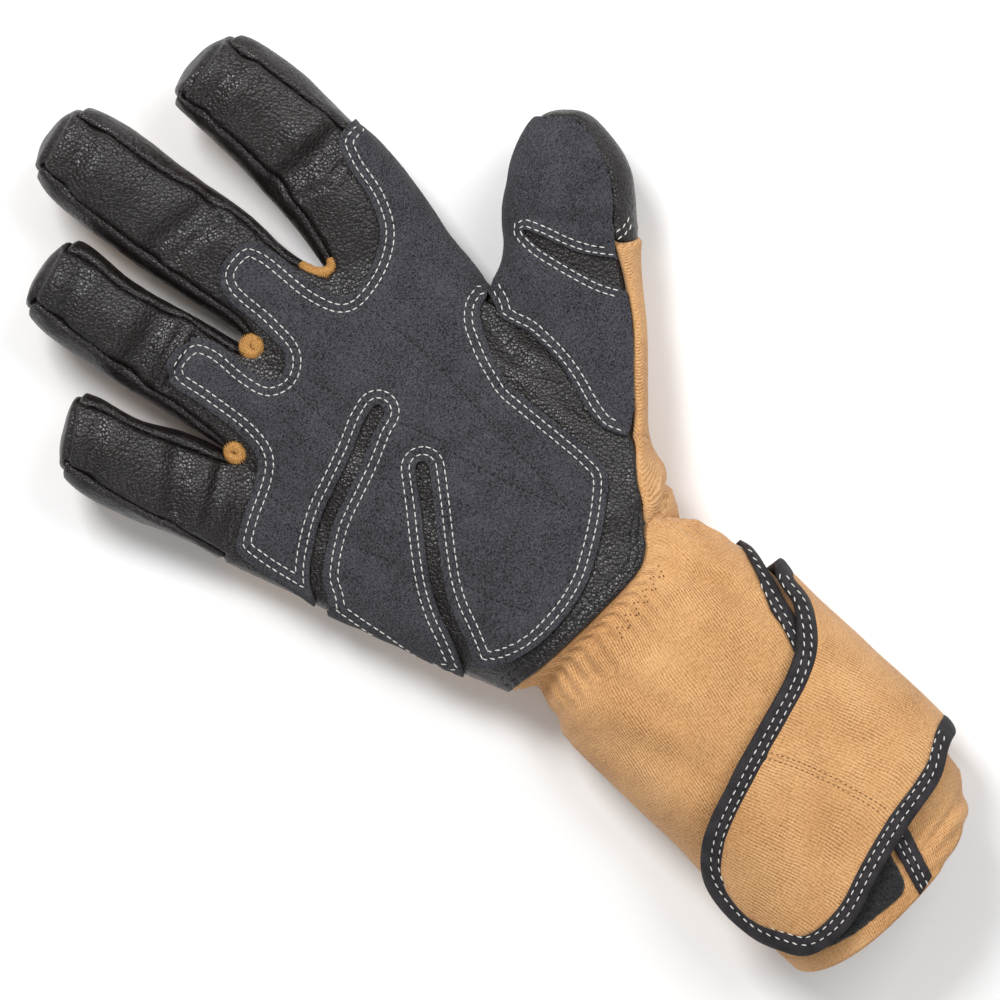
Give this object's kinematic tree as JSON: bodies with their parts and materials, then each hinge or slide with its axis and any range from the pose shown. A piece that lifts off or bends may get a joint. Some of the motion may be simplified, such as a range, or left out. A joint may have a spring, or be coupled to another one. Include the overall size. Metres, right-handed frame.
{
  "type": "gauntlet glove",
  "caption": "Right-hand gauntlet work glove lying palm up: black leather hand with charcoal suede overlays, tan knit back and long cuff with a bound wrap-over closing flap.",
  "frame": {"origin": "on the flattened back of the hand, under the middle of the palm, a third of the way from the heel of the hand to the finger roots", "axes": "+X towards the thumb side, +Y towards the fingertips, +Z out of the palm"},
  "size_m": [0.1885, 0.3462, 0.0543],
  "materials": {
    "leather_black": "black pebbled goat leather, satin",
    "suede_charcoal": "charcoal suede, matt and napped",
    "knit_tan": "tan ribbed knit fabric, matt",
    "binding_black": "black woven binding tape with white stitching",
    "loop_black": "black loop pile",
    "thread_tan": "tan embroidery thread, satin stitch",
    "thread_white": "off-white sewing thread",
    "thread_black": "black sewing thread"
  },
  "bodies": {
    "root": {"palm_panel": "leather_black", "back_panel": "knit_tan", "little_outer_side": "leather_black", "fourchette_ring_little": "leather_black", "fourchette_middle_ring": "leather_black", "fourchette_index_middle": "leather_black", "index_outer_side": "leather_black", "thumb_front": "leather_black", "thumb_back": "knit_tan", "thumb_tip_cap": "leather_black", "palm_overlay": "suede_charcoal", "thumb_overlay": "suede_charcoal", "tack_ring_little": "thread_tan", "tack_middle_ring": "thread_tan", "tack_index_middle": "thread_tan", "cuff_body": "knit_tan", "cuff_gusset": "knit_tan", "slit_binding": "binding_black", "loop_panel": "loop_black", "closure_flap": "knit_tan", "flap_binding": "binding_black"}
  },
  "joints": []
}
